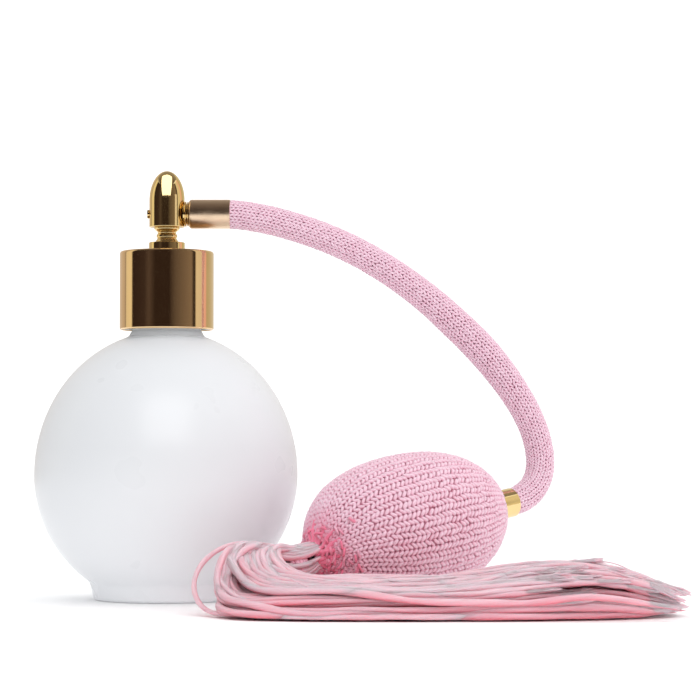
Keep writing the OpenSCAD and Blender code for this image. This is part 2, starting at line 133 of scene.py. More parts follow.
class Soup:
    """Gathers sub-meshes with UVs, a material index and a 'tone' value per point, and makes one object of them."""

    def __init__(self):
        self.points, self.faces, self.uvs, self.slots, self.tones = [], [], [], [], []
        self.count = 0

    def add(self, points, faces, uvs=None, slot=0, tone=None):
        """points is N x 3 in mm, faces is M x 4 point numbers, and uvs is M x 4 x 2."""
        faces = np.asarray(faces)
        self.points.append(np.asarray(points, float))
        self.faces.append(faces + self.count)
        self.uvs.append(np.zeros((len(faces), 4, 2)) if uvs is None else uvs)
        self.slots.append(np.full(len(faces), slot))
        self.tones.append(np.ones(len(points)) if tone is None else tone)
        self.count += len(points)

    def build(self, name, materials):
        points = np.concatenate(self.points) * MM
        faces = np.concatenate(self.faces)
        mesh = bpy.data.meshes.new(name)
        mesh.vertices.add(len(points))
        mesh.vertices.foreach_set("co", points.ravel())
        mesh.loops.add(faces.size)
        mesh.loops.foreach_set("vertex_index", faces.ravel().astype(np.int32))
        mesh.polygons.add(len(faces))
        mesh.polygons.foreach_set("loop_start", np.arange(0, faces.size, 4, dtype=np.int32))
        mesh.polygons.foreach_set("material_index", np.concatenate(self.slots).astype(np.int32))
        mesh.update(calc_edges=True)
        uv = mesh.uv_layers.new(name="uv")
        uv.data.foreach_set("uv", np.concatenate(self.uvs).ravel().astype(np.float32))
        tone = mesh.attributes.new("tone", "FLOAT", "POINT")
        tone.data.foreach_set("value", np.concatenate(self.tones).astype(np.float32))
        mesh.polygons.foreach_set("use_smooth", np.ones(len(faces), bool))
        mesh.validate()
        for material in materials:
            mesh.materials.append(material)
        obj = bpy.data.objects.new(name, mesh)
        bpy.context.scene.collection.objects.link(obj)
        return obj


def grid_faces(rows, columns, wrap=True, offset=0):
    """Quads between rows of points, going round each row, and their UVs."""
    last = columns if wrap else columns - 1
    i, k = np.meshgrid(np.arange(rows - 1), np.arange(last), indexing="ij")
    k2 = (k + 1) % columns
    faces = np.stack([i * columns + k, i * columns + k2, (i + 1) * columns + k2, (i + 1) * columns + k], -1)
    u, v = k / columns, i / (rows - 1)
    du, dv = 1 / columns, 1 / (rows - 1)
    uvs = np.stack([np.stack([u, v], -1), np.stack([u + du, v], -1),
                    np.stack([u + du, v + dv], -1), np.stack([u, v + dv], -1)], -2)
    return faces.reshape(-1, 4) + offset, uvs.reshape(-1, 4, 2)


def arc(cx, cz, rx, rz, start, end, count):
    """Points (radius, height) on an ellipse's arc; the angles are in degrees."""
    t = np.radians(np.linspace(start, end, count + 1))
    return [(cx + rx * math.cos(a), cz + rz * math.sin(a)) for a in t]


def soften(corners, steps=4):
    """A polyline with each corner (r, z, rounding) rounded off, and a holding point on each side of it."""
    out = []
    for i, (r, z, rounding) in enumerate(corners):
        here = np.array([r, z], float)
        if rounding <= 0 or i in (0, len(corners) - 1):
            out.append(tuple(here))
            continue
        back = np.array(corners[i - 1][:2], float) - here
        ahead = np.array(corners[i + 1][:2], float) - here
        back_len, ahead_len = np.linalg.norm(back), np.linalg.norm(ahead)
        reach = min(rounding, 0.45 * back_len, 0.45 * ahead_len)
        a, b = here + back / back_len * reach, here + ahead / ahead_len * reach
        hold = 0.15 * reach
        out.append(tuple(a + back / back_len * hold))
        for t in np.linspace(0, 1, steps + 1):
            out.append(tuple((1 - t) ** 2 * a + 2 * t * (1 - t) * here + t ** 2 * b))
        out.append(tuple(b + ahead / ahead_len * hold))
    return out


def frame_from(axis):
    """Two unit vectors square to axis, the second one mostly upward."""
    axis = np.asarray(axis, float) / np.linalg.norm(axis)
    up = np.array([0, 0, 1.0]) if abs(axis[2]) < 0.9 else np.array([0, 1.0, 0])
    side = np.cross(up, axis)
    side /= np.linalg.norm(side)
    return side, np.cross(axis, side)


def lathe(profile, axis=(0, 0, 1), origin=(0, 0, 0), segments=96):
    """Points and faces of a profile (radius, distance along axis) turned round axis."""
    profile = np.array(profile, float)
    a, b = ((np.array([1.0, 0, 0]), np.array([0, 1.0, 0])) if tuple(axis) == (0, 0, 1) else frame_from(axis))
    t = np.arange(segments) * 2 * math.pi / segments
    ring = np.cos(t)[:, None] * a + np.sin(t)[:, None] * b
    points = (np.asarray(origin, float) + profile[:, 1, None, None] * np.asarray(axis, float)
              + profile[:, 0, None, None] * ring[None])
    faces, uvs = grid_faces(len(profile), segments)
    return points.reshape(-1, 3), faces, uvs


def smooth_path(points, spacing):
    """Points every spacing mm along a smooth curve through the given ones (Catmull-Rom, centripetal)."""
    p = np.asarray(points, float)
    p = np.vstack([2 * p[0] - p[1], p, 2 * p[-1] - p[-2]])
    knots = np.concatenate([[0], np.cumsum(np.sqrt(np.linalg.norm(np.diff(p, axis=0), axis=1)))])
    out = []
    for i in range(1, len(p) - 2):
        t0, t1, t2, t3 = knots[i - 1:i + 3]
        t = np.linspace(t1, t2, 16, endpoint=False)[:, None]
        a1 = (t1 - t) / (t1 - t0) * p[i - 1] + (t - t0) / (t1 - t0) * p[i]
        a2 = (t2 - t) / (t2 - t1) * p[i] + (t - t1) / (t2 - t1) * p[i + 1]
        a3 = (t3 - t) / (t3 - t2) * p[i + 1] + (t - t2) / (t3 - t2) * p[i + 2]
        b1 = (t2 - t) / (t2 - t0) * a1 + (t - t0) / (t2 - t0) * a2
        b2 = (t3 - t) / (t3 - t1) * a2 + (t - t1) / (t3 - t1) * a3
        out.append((t2 - t) / (t2 - t1) * b1 + (t - t1) / (t2 - t1) * b2)
    out = np.vstack(out + [p[-2:-1]])
    length = np.concatenate([[0], np.cumsum(np.linalg.norm(np.diff(out, axis=0), axis=1))])
    count = max(int(round(length[-1] / spacing)), 2)
    at = np.linspace(0, length[-1], count + 1)
    return np.stack([np.interp(at, length, out[:, k]) for k in range(3)], -1)


def relax(path, rounds):
    """Evens out the bends of a path between its fixed ends."""
    path = path.copy()
    for _ in range(rounds):
        path[1:-1] += 0.5 * ((path[:-2] + path[2:]) / 2 - path[1:-1])
    return path


def carried_frames(path, start=(0, 1, 0)):
    """The direction at each point of a path and two side vectors, carried along without twist."""
    tangent = np.gradient(path, axis=0)
    tangent /= np.linalg.norm(tangent, axis=1)[:, None]
    side = np.empty_like(path)
    s = np.asarray(start, float)
    for i, t in enumerate(tangent):
        s = s - t * (s @ t)
        s = s / np.linalg.norm(s)
        side[i] = s
    return tangent, side, np.cross(tangent, side)


def sweep(path, radius, sides=8, start=(0, 1, 0), shape=None, closed=True):
    """A tube along a path. radius is one number or one per point, and shape is rows of factors for each side."""
    _, a, b = carried_frames(path, start)
    n = len(path)
    t = np.arange(sides) * 2 * math.pi / sides
    r = np.broadcast_to(np.asarray(radius, float).reshape(-1, 1), (n, sides)).copy()
    if shape is not None:
        r = r * shape
    if closed:
        r[0] *= 0.02
        r[-1] *= 0.02
    points = path[:, None] + r[..., None] * (np.cos(t)[None, :, None] * a[:, None]
                                             + np.sin(t)[None, :, None] * b[:, None])
    faces, uvs = grid_faces(n, sides)
    return points.reshape(-1, 3), faces, uvs


# ------------------------------------------------------------ materials


def new_material(name, **sockets):
    """A node material, its Principled shader and a function that adds and links nodes."""
    material = bpy.data.materials.new(name)
    material.use_nodes = True
    tree = material.node_tree
    shader = tree.nodes["Principled BSDF"]
    for key, value in sockets.items():
        shader.inputs[key.replace("_", " ")].default_value = value
    return material, tree, shader


def add_node(tree, kind, links=None, **values):
    """One node with its input links {socket: output socket} and its properties or input values."""
    node = tree.nodes.new(kind)
    for key, value in values.items():
        if hasattr(node, key):
            setattr(node, key, value)
        else:
            node.inputs[key.replace("_", " ")].default_value = value
    for key, source in (links or {}).items():
        tree.links.new(source, node.inputs[key])
    return node


def ramp(tree, source, stops):
    """A colour ramp on source; stops is a list of (position, colour)."""
    node = add_node(tree, "ShaderNodeValToRGB", {"Fac": source})
    elements = node.color_ramp.elements
    while len(elements) < len(stops):
        elements.new(0.5)
    for element, (position, colour) in zip(elements, stops):
        element.position = position
        element.color = (*colour, 1.0)
    return node.outputs["Color"]


def spread(tree, source, low, high):
    """Maps source from 0..1 to low..high."""
    node = add_node(tree, "ShaderNodeMapRange", {"Value": source})
    node.inputs["To Min"].default_value = low
    node.inputs["To Max"].default_value = high
    return node.outputs["Result"]


def noise_of(tree, scale, detail=3.0, roughness=0.5, vector=None):
    node = add_node(tree, "ShaderNodeTexNoise", {"Vector": vector} if vector else None)
    node.inputs["Scale"].default_value = scale
    node.inputs["Detail"].default_value = detail
    node.inputs["Roughness"].default_value = roughness
    return node.outputs["Fac"]


def object_vector(tree):
    return add_node(tree, "ShaderNodeTexCoord").outputs["Object"]


def bump(tree, shader, height, strength, distance):
    node = add_node(tree, "ShaderNodeBump", {"Height": height})
    node.inputs["Strength"].default_value = strength
    node.inputs["Distance"].default_value = distance
    tree.links.new(node.outputs["Normal"], shader.inputs["Normal"])


def opal_glass():
    material, tree, shader = new_material("opal_glass", IOR=1.5, Specular_IOR_Level=0.22)
    where = object_vector(tree)
    cloud = noise_of(tree, 22.0, 1.0, vector=where)
    tree.links.new(ramp(tree, cloud, [(0.0, (0.715, 0.73, 0.752)), (1.0, (0.73, 0.742, 0.76))]),
                   shader.inputs["Base Color"])
    smudge = noise_of(tree, 60.0, 2.0, vector=where)
    tree.links.new(spread(tree, smudge, 0.26, 0.30), shader.inputs["Roughness"])
    # painted glow: emission, strongest at the bottom and fading out toward the ball's middle, stands in for light that
    # the bright floor sends up through the milky wall
    height = add_node(tree, "ShaderNodeSeparateXYZ", {"Vector": where}).outputs["Z"]
    painted_floor_glow = add_node(tree, "ShaderNodeMapRange", {"Value": height})
    for socket, value in (("From Min", 0.0), ("From Max", 0.045), ("To Min", 0.15), ("To Max", 0.0)):
        painted_floor_glow.inputs[socket].default_value = value
    tree.links.new(painted_floor_glow.outputs["Result"], shader.inputs["Emission Strength"])
    shader.inputs["Emission Color"].default_value = (0.97, 0.97, 1.0, 1.0)
    return material


def gold(name, colour, edge, rough=0.07):
    """Polished plated metal: faint waviness, and fine specks and wipe marks in its gloss."""
    material, tree, shader = new_material(name, Metallic=1.0)
    where = object_vector(tree)
    tint = noise_of(tree, 60.0, 2.0, vector=where)
    tree.links.new(ramp(tree, tint, [(0.25, colour), (0.75, edge)]), shader.inputs["Base Color"])
    stretched = add_node(tree, "ShaderNodeMapping", {"Vector": where}, Scale=(260.0, 260.0, 30.0))
    wipes = noise_of(tree, 1.0, 4.0, 0.6, stretched.outputs["Vector"])
    specks = noise_of(tree, 2600.0, 2.0, 0.6, where)
    both = add_node(tree, "ShaderNodeMath", {0: wipes, 1: ramp(tree, specks, [(0.6, (0, 0, 0)), (0.75, (1, 1, 1))])},
                    operation="ADD")
    tree.links.new(spread(tree, both.outputs[0], rough * 0.7, rough * 2.4), shader.inputs["Roughness"])
    bump(tree, shader, noise_of(tree, 90.0, 2.0, vector=where), 0.03, 0.0003)
    return material


def moulded(name, colour, rough, **sockets):
    """Moulded plastic or rubber with a fine grain."""
    material, tree, shader = new_material(name, **sockets)
    where = object_vector(tree)
    grain = noise_of(tree, 900.0, 3.0, vector=where)
    dark = tuple(c * 0.9 for c in colour)
    tree.links.new(ramp(tree, grain, [(0.3, dark), (0.7, colour)]), shader.inputs["Base Color"])
    tree.links.new(spread(tree, noise_of(tree, 300.0, 2.0, vector=where), rough * 0.8, rough * 1.2),
                   shader.inputs["Roughness"])
    bump(tree, shader, grain, 0.15, 0.00008)
    return material


def yarn(name, deep, mid, crest, plies, turns, rough=0.42, fibre=0.35, sheen=0.35, glow=0.0):
    """Lustrous yarn: its colour runs from a deep pink for the gaps to a light one for the crests, set by the 'tone'
    attribute as painted shade, and its plies and fibres wind along its UVs.
    """
    material, tree, shader = new_material(name, Sheen_Weight=sheen, Sheen_Roughness=0.4, IOR=1.46,
                                          Specular_IOR_Level=0.55, Anisotropic=0.45)
    uv = add_node(tree, "ShaderNodeUVMap", uv_map="uv").outputs["UV"]
    split = add_node(tree, "ShaderNodeSeparateXYZ", {"Vector": uv})
    along = add_node(tree, "ShaderNodeMath", {0: split.outputs["Y"]}, operation="MULTIPLY")
    along.inputs[1].default_value = turns
    wound = add_node(tree, "ShaderNodeMath", {0: split.outputs["X"], 1: along.outputs[0]}, operation="ADD")
    phase = add_node(tree, "ShaderNodeMath", {0: wound.outputs[0]}, operation="MULTIPLY")
    phase.inputs[1].default_value = plies * 2 * math.pi
    ply = add_node(tree, "ShaderNodeMath", {0: phase.outputs[0]}, operation="SINE")
    fibre_phase = add_node(tree, "ShaderNodeMath", {0: phase.outputs[0]}, operation="MULTIPLY")
    fibre_phase.inputs[1].default_value = 5.0
    fibres = add_node(tree, "ShaderNodeMath", {0: fibre_phase.outputs[0]}, operation="SINE")
    grain = noise_of(tree, 1800.0, 2.0, vector=object_vector(tree))
    mixed = add_node(tree, "ShaderNodeMath", {0: ply.outputs[0], 1: fibres.outputs[0]}, operation="MULTIPLY_ADD")
    mixed.inputs[1].default_value = 1.0
    tree.links.new(fibres.outputs[0], mixed.inputs[2])
    height = add_node(tree, "ShaderNodeMath", {0: mixed.outputs[0], 1: grain}, operation="ADD")
    tone = add_node(tree, "ShaderNodeAttribute", attribute_name="tone").outputs["Fac"]
    # painted shade: the grooves of the ply and fibre bump come out a little deeper in colour
    shade = add_node(tree, "ShaderNodeMath", {0: height.outputs[0]}, operation="MULTIPLY")
    shade.inputs[1].default_value = 0.035
    toned = add_node(tree, "ShaderNodeMath", {0: tone, 1: shade.outputs[0]}, operation="ADD")
    tree.links.new(ramp(tree, toned.outputs[0], [(0.0, deep), (0.45, mid), (1.0, crest)]),
                   shader.inputs["Base Color"])
    tree.links.new(spread(tree, grain, rough * 0.8, rough * 1.25), shader.inputs["Roughness"])
    bump(tree, shader, height.outputs[0], fibre, 0.00012)
    shader.inputs["Subsurface Weight"].default_value = glow
    shader.inputs["Subsurface Radius"].default_value = (1.0, 0.35, 0.4)
    shader.inputs["Subsurface Scale"].default_value = 0.0016
    return material


OPAL = opal_glass()
COLLAR_GOLD = gold("collar_gold", (0.79, 0.55, 0.30), (0.83, 0.59, 0.33), 0.05)
FERRULE_GOLD = gold("ferrule_gold", (0.80, 0.60, 0.42), (0.85, 0.65, 0.46), 0.2)
HEAD_GOLD = gold("head_gold", (0.83, 0.62, 0.29), (0.88, 0.67, 0.33), 0.05)
PLASTIC = moulded("white_plastic", (0.80, 0.80, 0.77), 0.42)
CLEAR = moulded("tube_plastic", (0.84, 0.87, 0.87), 0.2, Transmission_Weight=0.55, IOR=1.49)
SEAL = moulded("seal_rubber", (0.06, 0.06, 0.065), 0.6)
BULB_RUBBER = moulded("bulb_rubber", (0.62, 0.30, 0.38), 0.55)
STEEL = gold("valve_steel", (0.62, 0.63, 0.65), (0.70, 0.71, 0.73), 0.12)
# each yarn's first colour is painted shade for its gaps and undersides, and its last is the colour of its crests
HOSE_YARN = yarn("hose_yarn", (0.66, 0.17, 0.30), (0.80, 0.38, 0.52), (0.91, 0.66, 0.77), 2, 0.6, rough=0.22)
BULB_YARN = yarn("bulb_yarn", (0.92, 0.24, 0.37), (0.88, 0.43, 0.56), (0.93, 0.66, 0.77), 2, 0.7, rough=0.24)
# the sheet under the stitches stands for the yarn and rubber behind them, and its deeper pink is painted shade in the
# gaps
GROUND = moulded("knit_ground", (0.78, 0.31, 0.44), 0.7)
SILK = yarn("tassel_silk", (0.84, 0.22, 0.28), (0.84, 0.41, 0.48), (0.84, 0.57, 0.63), 3, 5.0, rough=0.36,
            fibre=0.4, sheen=0.25, glow=0.45)

CAD_FINISH = {"collar_insert": PLASTIC, "stem": PLASTIC, "neck_gasket": SEAL, "dip_tube": CLEAR,
              "head_o_ring": SEAL, "jet_tube": HEAD_GOLD, "hose_tube": BULB_RUBBER, "bulb_connector": PLASTIC,
              "outlet_valve_ball": STEEL, "outlet_valve_stop": PLASTIC, "rubber_bulb": BULB_RUBBER,
              "inlet_valve_body": STEEL, "inlet_valve_ball": STEEL, "inlet_valve_stop": PLASTIC}


def finish_cad_nodes():
    for node, material in CAD_FINISH.items():
        slots = frame["nodes"][node].material_slots
        if not slots:
            frame["nodes"][node].data.materials.append(material)
        for entry in slots:
            entry.material = material


def place(obj, body, slot, *nodes):
    """Puts a finished piece on its body, in place of its CAD nodes. slot is not used."""
    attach(obj, body)
    if nodes:
        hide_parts(*nodes)
    return obj


# ------------------------------------------------------------ knitting

LEG_T = np.linspace(0, 1, 7)
LEG_LIFT = np.sin(np.pi * (0.06 + 0.88 * LEG_T)) ** 0.7


def knit(soup, surface, wales, courses, thickness, reach, slot=0, sides=6, tone=None):
    """Stockinette over a surface: for each course and wale, two legs that make a V.

    surface(angle, course) gives points, outward normals and the local radius. thickness gives the yarn's radius
    there, and reach is how many courses a leg spans."""
    turn = 2 * math.pi / wales
    ring = np.arange(sides) * 2 * math.pi / sides
    across = 0.03 + 0.45 * LEG_T ** 0.9
    for course in range(courses):
        wobble = rng.normal(0, 0.04, (wales, 3))
        for wale in range(wales):
            for hand in (-1, 1):
                angle = (wale + 0.5 + hand * across + wobble[wale, 0]) * turn
                along = course + reach * LEG_T + wobble[wale, 1]
                points, normals, radius = surface(angle, along)
                thick = thickness(radius, along) * (1 + wobble[wale, 2])
                path = points + normals * (LEG_LIFT * thick * 1.3 - thick * 0.3)[:, None]
                tangent = np.gradient(path, axis=0)
                tangent /= np.linalg.norm(tangent, axis=1)[:, None]
                side = np.cross(tangent, normals)
                side /= np.linalg.norm(side, axis=1)[:, None]
                up = np.cross(side, tangent)
                r = thick.copy()
                r[0] *= 0.3
                r[-1] *= 0.3
                body = path[:, None] + r[:, None, None] * (np.cos(ring)[None, :, None] * side[:, None]
                                                          + np.sin(ring)[None, :, None] * up[:, None])
                faces, uvs = grid_faces(len(path), sides)
                # painted shade: the raised middle of each leg and the outer side of the yarn get a lighter tone, the
                # sunk ends and the inner side a deeper one; the wobble term varies at random
                shade = np.repeat(LEG_LIFT * 0.55 + 0.05, sides) + np.tile(0.42 * np.sin(ring), len(path))
                shade = shade + 0.8 * wobble[wale, 2]
                if tone is not None:
                    shade = shade + np.repeat(tone(radius, along), sides)
                soup.add(body.reshape(-1, 3), faces, uvs, slot, shade)


# ------------------------------------------------------------ hose

HOSE_PATH = relax(smooth_path(
    [(FERRULE_X + 2, 0, ARM_Z), (FERRULE_END - 4, 0, ARM_Z), (FERRULE_END + 0.8, 0, ARM_Z), *HOSE_ROUTE,
     on_axis(BULB_FERRULE_S + BULB_FERRULE_L + 0.8), on_axis(BULB_FERRULE_S + 4),
     on_axis(BULB_FERRULE_S + 0.6)], 0.5), 60)


def fullness(height):
    """How much wider the loose knit stands on the falling side of the bend."""
    return 0.6 * np.exp(-((height - 76) / 15) ** 2)


def make_hose():
    path = HOSE_PATH
    tangent, side, up = carried_frames(path)
    length = np.concatenate([[0], np.cumsum(np.linalg.norm(np.diff(path, axis=0), axis=1))])
    courses = int(length[-1] / 1.25) - 2
    pitch = length[-1] / (courses + 1.6)

    def at(field, s):
        return np.stack([np.interp(s, length, field[:, k]) for k in range(3)], -1)

    def surface(angle, course):
        s = np.clip(course * pitch, 0, length[-1])
        normal = np.cos(angle)[:, None] * at(side, s) + np.sin(angle)[:, None] * at(up, s)
        normal /= np.linalg.norm(normal, axis=1)[:, None]
        # the crimps hold the cover in at both ends
        grip = np.minimum(np.clip((s - 8) / 3, 0, 1), np.clip((length[-1] - 8 - s) / 3, 0, 1))
        here = at(path, s)
        radius = HOSE_R - 0.78 + 0.2 * grip + fullness(here[:, 2])
        return here + normal * radius[:, None], normal, radius

    soup = Soup()
    # the ground sheet: painted shade seen between the stitches
    ground_points, faces, uvs = sweep(path, HOSE_R - 0.8 + fullness(path[:, 2]), 36, closed=True)
    soup.add(ground_points, faces, uvs, 1)
    knit(soup, surface, HOSE_WALES, courses, lambda radius, along: np.full(len(radius), 0.4), 1.5)
    hose = place(soup.build("hose_cover", [HOSE_YARN, GROUND]), "spray_head", "pink_knit", "hose_braid")


make_hose()

# ------------------------------------------------------------ bottle and sprayer


def make_bottle():
    belly, shoulder = BALL_R - BASE_CUT, BALL_R + SHOULDER_RISE
    base_r = FOOT_R - FOOT_TAPER
    foot_angle = -math.degrees(math.acos(FOOT_R / BALL_R))
    bead_angle = math.degrees(math.acos(BEAD_R / BALL_R))
    bead_z = belly + shoulder * math.sin(math.radians(bead_angle))
    in_r, in_h = BALL_R - GLASS_WALL, shoulder - GLASS_WALL
    bore_angle = math.degrees(math.acos(NECK_BORE_R / in_r))
    foot_z = belly + BALL_R * math.sin(math.radians(foot_angle))
    outside = [(0.01, 0), (12, 0), (18, 0), (base_r - FOOT_CORNER - 0.5, 0)]
    outside += arc(base_r - FOOT_CORNER, FOOT_CORNER, FOOT_CORNER, FOOT_CORNER, -90, 0, 8)
    outside += soften([(base_r, FOOT_CORNER + 0.2, 0), (FOOT_R, foot_z, 1.1),
                       arc(0, belly, BALL_R, BALL_R, foot_angle + 3, 0, 1)[0] + (0,)], 5)[1:]
    outside += arc(0, belly, BALL_R, BALL_R, foot_angle + 4, 0, 40)[1:]
    outside += arc(0, belly, BALL_R, shoulder, 1.5, bead_angle - 1.2, 52)
    outside += soften([(BEAD_R + 0.9, bead_z - 0.3, 0), (BEAD_R + 0.3, bead_z + 0.1, 0.3),
                       (NECK_R + 0.15, bead_z + BEAD_H, 0.3),
                       (NECK_R, RIM_Z, 0.5), (NECK_BORE_R, RIM_Z, 0.4),
                       (NECK_BORE_R, RIM_Z - 8, 0)], 4)
    inside = arc(0, belly, in_r, in_h, bore_angle, 0, 30) + arc(0, belly, in_r, in_r, 0, -58, 24)[1:]
    inside += [(15, GLASS_FLOOR), (0.01, GLASS_FLOOR)]
    soup = Soup()
    soup.add(*lathe(outside + inside, segments=192))
    steps = int(48 * THREAD_TURNS)
    t = np.linspace(0, THREAD_TURNS, steps + 1)
    grow = np.clip(np.minimum(t, THREAD_TURNS - t) * 8, 0.05, 1)
    helix = np.stack([(NECK_R - 0.9 + grow) * np.cos(2 * math.pi * t), (NECK_R - 0.9 + grow) * np.sin(2 * math.pi * t),
                      RIM_Z - 9.5 + THREAD_PITCH * t], -1)
    soup.add(*sweep(helix, 0.88, 12, start=(0, 0, 1)))
    place(soup.build("bottle_glass", [OPAL]), "bottle", "opal_glass", "bottle_body", "bottle_neck")


def make_collar():
    wall, top_wall, hole = 0.5, 0.5, STEM_R + 1.5
    inner = COLLAR_R - wall
    profile = soften([(inner, SHELL_TOP - top_wall, 0), (inner, SHELL_Z, 0.18), (COLLAR_R - 0.25, SHELL_Z, 0.12),
                      (COLLAR_R, SHELL_Z + 0.35, 0.25), (COLLAR_R, SHELL_TOP, 1.0), (hole, SHELL_TOP, 0.15),
                      (hole, SHELL_TOP - top_wall, 0.1), (inner, SHELL_TOP - top_wall, 0)], 8)
    soup = Soup()
    soup.add(*lathe(profile, segments=192))
    place(soup.build("collar_cap", [COLLAR_GOLD]), "collar", "gold_metal", "collar_shell")


def make_seat():
    top = HEAD_Z - 0.02
    disc_top = DISC_Z + 2.5
    rise = top - disc_top
    spool = [(3.55, 0.0, 0.25), (3.15, 0.75, 0.3), (2.85, 1.05, 0.2), (3.12, 1.45, 0.25), (3.12, 2.1, 0.25),
             (2.7, 2.5, 0.3), (2.9, 2.95, 0.3), (3.5, 3.35, 0.3), (3.8, 3.75, 0.2)]
    profile = [(STEM_R + 0.05, DISC_Z, 0), (DISC_R, DISC_Z, 0.3), (DISC_R, disc_top, 0.35)]
    profile += [(r, disc_top + z * rise / 4.2, f) for r, z, f in spool]
    profile += [(3.8, top, 0.15), (STEM_R + 0.05, top, 0.05), (STEM_R + 0.05, DISC_Z, 0)]
    soup = Soup()
    soup.add(*lathe(soften(profile, 6), segments=128))
    place(soup.build("seat_spool", [HEAD_GOLD]), "sprayer_base", "gold_metal", "seat_disc")


def make_head():
    side = 8.2
    dome = HEAD_TOP - HEAD_Z - side
    profile = soften([(STEM_R + 0.1, HEAD_Z + 2.6, 0), (STEM_R + 0.1, HEAD_Z, 0.2), (HEAD_R, HEAD_Z, 0.3),
                      (HEAD_R, HEAD_Z + side - 1, 0)], 5)
    profile += [(HEAD_R * math.cos(t), HEAD_Z + side + dome * math.sin(t)) for t in np.linspace(0, 1.5, 30)]
    profile += [(0.01, HEAD_TOP)]
    soup = Soup()
    soup.add(*lathe(profile, segments=160))
    place(soup.build("head_bullet", [HEAD_GOLD]), "spray_head", "gold_metal", "spray_head")
    tip = soften([(1.1, 1.6, 0), (1.1, 0.55, 0.05), (1.35, 0.55, 0.08), (1.35, 0, 0.12), (0.45, 0, 0.08), (0.25, 0.3, 0),
                  (0.25, 1.2, 0)], 4)
    soup = Soup()
    soup.add(*lathe(tip, axis=(1, 0, 0), origin=(-HEAD_R - 0.6, 0, ARM_Z), segments=48))
    place(soup.build("nozzle", [HEAD_GOLD]), "spray_head", "gold_metal", "nozzle_tip")


def make_side_arm():
    """The beaded neck and the ferrule at the head's end of the hose."""
    start = HEAD_R - 0.35
    gap = FERRULE_X - HEAD_R
    neck = [(0.9, start, 0), (3.2, start, 0.1), (3.2, HEAD_R + 0.05 * gap, 0.1), (3.85, HEAD_R + 0.12 * gap, 0.25),
            (3.85, HEAD_R + 0.4 * gap, 0.3), (3.05, HEAD_R + 0.48 * gap, 0.12), (3.05, HEAD_R + 0.56 * gap, 0.12),
            (3.75, HEAD_R + 0.64 * gap, 0.3), (3.75, HEAD_R + 0.88 * gap, 0.25), (2.2, HEAD_R + 0.97 * gap, 0.1),
            (1.7, FERRULE_X + 0.7, 0.1), (1.7, FERRULE_X + 9, 0.1), (0.9, FERRULE_X + 9.5, 0), (0.9, start, 0)]
    soup = Soup()
    soup.add(*lathe(soften(neck, 5), axis=(1, 0, 0), origin=(0, 0, ARM_Z), segments=96))
    place(soup.build("side_neck", [HEAD_GOLD]), "spray_head", "gold_metal", "side_nipple")
    r, inner, length = FERRULE_R, FERRULE_R - 0.35, FERRULE_END - FERRULE_X
    cap = [(inner, 1.4, 0), (inner, length, 0.12), (r, length, 0.15), (r, 0, 1.1), (2.3, 0, 0.15), (2.3, 1.4, 0.05),
           (inner, 1.4, 0)]
    soup = Soup()
    soup.add(*lathe(soften(cap, 7), axis=(1, 0, 0), origin=(FERRULE_X, 0, ARM_Z), segments=128))
    place(soup.build("head_ferrule", [FERRULE_GOLD]), "spray_head", "gold_metal", "hose_ferrule")


def make_bulb_ferrule():
    r, inner, length = FERRULE_R, FERRULE_R - 0.35, BULB_FERRULE_L
    ring = [(inner, 0.1, 0), (inner, length, 0.12), (r, length, 0.18), (r, 0, 0.2), (inner, 0, 0.1), (inner, 0.1, 0)]
    soup = Soup()
    soup.add(*lathe(soften(ring, 5), axis=BULB_AXIS, origin=on_axis(BULB_FERRULE_S), segments=128))
    place(soup.build("bulb_end_ferrule", [HEAD_GOLD]), "spray_head", "gold_metal", "bulb_ferrule")


# ------------------------------------------------------------ squeeze bulb

EGG_POWER = 2.3


def egg(s, half, radius):
    """The bulb's radius at s along its axis."""
    return radius * np.sqrt(np.clip(1 - (np.abs(s) / half) ** EGG_POWER, 0, 1))


def sag(s):
    """How far the net is drawn off the axis near its tail, by the weight of the tassel."""
    return np.clip((-np.asarray(s, float) - 20) / 14.5, 0, 1.2)[..., None] ** 2 * np.array([1.2, -0.3, -1.9])


